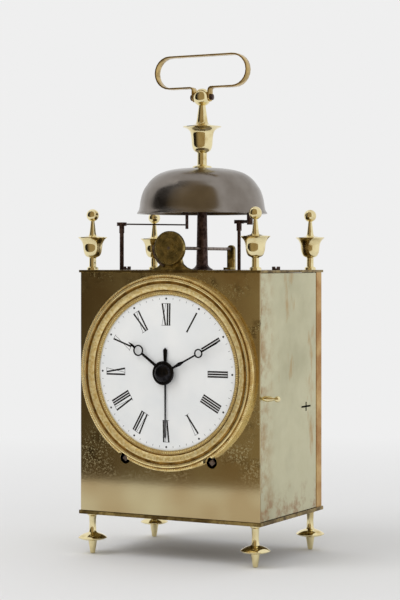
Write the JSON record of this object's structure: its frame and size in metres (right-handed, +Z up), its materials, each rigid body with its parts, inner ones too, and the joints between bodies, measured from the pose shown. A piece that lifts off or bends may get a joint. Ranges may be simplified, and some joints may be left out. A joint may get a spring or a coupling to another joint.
{
  "type": "carriage clock",
  "caption": "Travelling clock in a brass box case on turned feet, with urn finials, round enamel dial, bell, hinged carrying handle, alarm, opening doors and a moving pendulum train",
  "frame": {"origin": "on the floor, midway between the left and right sides of the case; the right door's knob is not counted", "axes": "+Z up, the dial faces -Y, +X to the right as seen from the dial side"},
  "size_m": [0.1374, 0.1072, 0.3057],
  "materials": {
    "gilt_brass": "polished",
    "old_brass": "satin",
    "bell_metal": "satin",
    "movement_brass": "satin",
    "dark_iron": "matte",
    "steel": "satin",
    "enamel": "gloss",
    "hand_steel": "satin"
  },
  "bodies": {
    "case": {"bottom_plate": "old_brass", "top_plate": "old_brass", "front_sheet": "old_brass", "corner_posts": "old_brass", "feet": "gilt_brass", "finials": "gilt_brass", "dial": "enamel", "bezel": "gilt_brass", "bell_stand": "dark_iron", "bell": "bell_metal", "handle_urn": "gilt_brass", "handle_screws": "dark_iron", "alarm_bracket": "gilt_brass", "alarm_click_spring": "steel", "alarm_cock": "gilt_brass", "top_plate_screws": "dark_iron", "movement_front_plate": "movement_brass", "movement_back_plate": "movement_brass", "movement_pillars": "movement_brass", "movement_screws": "dark_iron", "pendulum_cock": "movement_brass", "hammer_cocks": "movement_brass"},
    "right_door": {"right_door": "old_brass", "right_door_knob": "gilt_brass"},
    "left_door": {"left_door": "old_brass"},
    "back_door": {"back_door": "old_brass", "back_door_knob": "gilt_brass"},
    "handle": {"carrying_handle": "gilt_brass"},
    "strike_hammer": {"strike_hammer_arbor": "dark_iron", "strike_hammer": "dark_iron"},
    "alarm_hammer": {"alarm_hammer_arbor": "dark_iron", "alarm_hammer": "dark_iron"},
    "alarm_disc": {"alarm_disc": "gilt_brass", "alarm_arbor": "steel"},
    "minute_hand": {"minute_hand": "hand_steel", "hand_nut": "hand_steel", "cannon_pinion": "steel"},
    "hour_hand": {"hour_hand": "hand_steel", "hour_wheel": "movement_brass"},
    "alarm_hand": {"alarm_hand": "hand_steel", "alarm_cam": "movement_brass"},
    "minute_wheel": {"minute_wheel": "movement_brass"},
    "going_barrel": {"going_barrel": "movement_brass"},
    "strike_barrel": {"strike_barrel": "movement_brass"},
    "going_winding": {"going_winding_arbor": "steel"},
    "strike_winding": {"strike_winding_arbor": "steel"},
    "going_click": {"going_click": "steel"},
    "strike_click": {"strike_click": "steel"},
    "intermediate_wheel": {"intermediate_wheel": "movement_brass"},
    "centre_wheel": {"centre_wheel": "movement_brass"},
    "third_wheel": {"third_wheel": "movement_brass"},
    "escape_wheel": {"escape_wheel": "movement_brass"},
    "anchor": {"anchor": "steel"},
    "pendulum": {"pendulum": "movement_brass"},
    "pin_wheel": {"pin_wheel": "movement_brass"},
    "fly": {"fly": "movement_brass"}
  },
  "joints": [
    {"name": "right_door_hinge", "type": "hinge", "parent": "case", "child": "right_door", "pos_m": [0.0597, 0.0327, 0.0993], "axis": [0, 0, 1], "range_deg": [0, 95]},
    {"name": "left_door_hinge", "type": "hinge", "parent": "case", "child": "left_door", "pos_m": [-0.0597, 0.0327, 0.0993], "axis": [0, 0, 1], "range_deg": [-95, 0]},
    {"name": "back_door_hinge", "type": "hinge", "parent": "case", "child": "back_door", "pos_m": [0.0494, 0.0403, 0.0993], "axis": [0, 0, 1], "range_deg": [-95, 0]},
    {"name": "handle_swing", "type": "hinge", "parent": "case", "child": "handle", "pos_m": [0, -0.0014, 0.2795], "axis": [1, 0, 0], "range_deg": [-150, 150]},
    {"name": "strike_hammer_turn", "type": "hinge", "parent": "case", "child": "strike_hammer", "pos_m": [-0.05, -0.0141, 0.2017], "axis": [0, 0, 1], "range_deg": [-12, 0], "stiffness_Nm_per_rad": 0.004},
    {"name": "alarm_hammer_turn", "type": "hinge", "parent": "case", "child": "alarm_hammer", "pos_m": [0.0245, 0.0006, 0.2027], "axis": [0, 0, 1], "range_deg": [-25, 10]},
    {"name": "alarm_disc_turn", "type": "hinge", "parent": "case", "child": "alarm_disc", "pos_m": [0, -0.041, 0.1864], "axis": [0, 1, 0], "continuous": true},
    {"name": "minute_hand_turn", "type": "hinge", "parent": "case", "child": "minute_hand", "pos_m": [0, -0.0496, 0.1123], "axis": [0, 1, 0], "continuous": true},
    {"name": "hour_hand_turn", "type": "hinge", "parent": "case", "child": "hour_hand", "pos_m": [0, -0.0486, 0.1123], "axis": [0, 1, 0], "continuous": true},
    {"name": "minute_wheel_turn", "type": "hinge", "parent": "case", "child": "minute_wheel", "pos_m": [-0.01316, -0.0353, 0.10751], "axis": [0, 1, 0], "continuous": true},
    {"name": "alarm_hand_turn", "type": "hinge", "parent": "case", "child": "alarm_hand", "pos_m": [0, -0.0476, 0.1123], "axis": [0, 1, 0], "continuous": true},
    {"name": "centre_wheel_turn", "type": "hinge", "parent": "case", "child": "centre_wheel", "pos_m": [0, -0.0164, 0.1123], "axis": [0, 1, 0], "continuous": true},
    {"name": "intermediate_wheel_turn", "type": "hinge", "parent": "case", "child": "intermediate_wheel", "pos_m": [0.0209, -0.0069, 0.08967], "axis": [0, 1, 0], "continuous": true},
    {"name": "going_barrel_turn", "type": "hinge", "parent": "case", "child": "going_barrel", "pos_m": [0.0295, -0.0114, 0.0601], "axis": [0, 1, 0], "continuous": true},
    {"name": "third_wheel_turn", "type": "hinge", "parent": "case", "child": "third_wheel", "pos_m": [0.0099, -0.0014, 0.12945], "axis": [0, 1, 0], "continuous": true},
    {"name": "escape_wheel_turn", "type": "hinge", "parent": "case", "child": "escape_wheel", "pos_m": [0, -0.0094, 0.14339], "axis": [0, 1, 0], "continuous": true},
    {"name": "pin_wheel_turn", "type": "hinge", "parent": "case", "child": "pin_wheel", "pos_m": [-0.0209, -0.0034, 0.08967], "axis": [0, 1, 0], "continuous": true},
    {"name": "strike_barrel_turn", "type": "hinge", "parent": "case", "child": "strike_barrel", "pos_m": [-0.0295, -0.0114, 0.0601], "axis": [0, 1, 0], "continuous": true},
    {"name": "fly_turn", "type": "hinge", "parent": "case", "child": "fly", "pos_m": [-0.02465, -0.0034, 0.11095], "axis": [0, 1, 0], "continuous": true},
    {"name": "going_winding_turn", "type": "hinge", "parent": "case", "child": "going_winding", "pos_m": [0.0295, -0.0327, 0.0601], "axis": [0, 1, 0], "continuous": true},
    {"name": "strike_winding_turn", "type": "hinge", "parent": "case", "child": "strike_winding", "pos_m": [-0.0295, -0.0327, 0.0601], "axis": [0, 1, 0], "continuous": true},
    {"name": "going_click_turn", "type": "hinge", "parent": "case", "child": "going_click", "pos_m": [0.0269, -0.0327, 0.0749], "axis": [0, 1, 0], "range_deg": [-15, 0], "stiffness_Nm_per_rad": 0.0005},
    {"name": "strike_click_turn", "type": "hinge", "parent": "case", "child": "strike_click", "pos_m": [-0.0269, -0.0327, 0.0749], "axis": [0, 1, 0], "range_deg": [0, 15], "stiffness_Nm_per_rad": 0.0005},
    {"name": "pendulum_swing", "type": "hinge", "parent": "case", "child": "pendulum", "pos_m": [0, 0.0156, 0.15889], "axis": [0, 1, 0], "range_deg": [-3, 3]},
    {"name": "anchor_swing", "type": "hinge", "parent": "case", "child": "anchor", "pos_m": [0, -0.0094, 0.15889], "axis": [0, 1, 0], "range_deg": [-3, 3]}
  ],
  "couplings": [
    {"joint": "hour_hand_turn", "follows": "minute_hand_turn", "ratio": 0.083333},
    {"joint": "minute_wheel_turn", "follows": "minute_hand_turn", "ratio": -0.33333},
    {"joint": "intermediate_wheel_turn", "follows": "centre_wheel_turn", "ratio": -0.16667},
    {"joint": "going_barrel_turn", "follows": "centre_wheel_turn", "ratio": 0.027778},
    {"joint": "third_wheel_turn", "follows": "centre_wheel_turn", "ratio": -5},
    {"joint": "escape_wheel_turn", "follows": "centre_wheel_turn", "ratio": 20},
    {"joint": "strike_barrel_turn", "follows": "pin_wheel_turn", "ratio": -0.16667},
    {"joint": "fly_turn", "follows": "pin_wheel_turn", "ratio": -5},
    {"joint": "anchor_swing", "follows": "pendulum_swing", "ratio": 1}
  ]
}
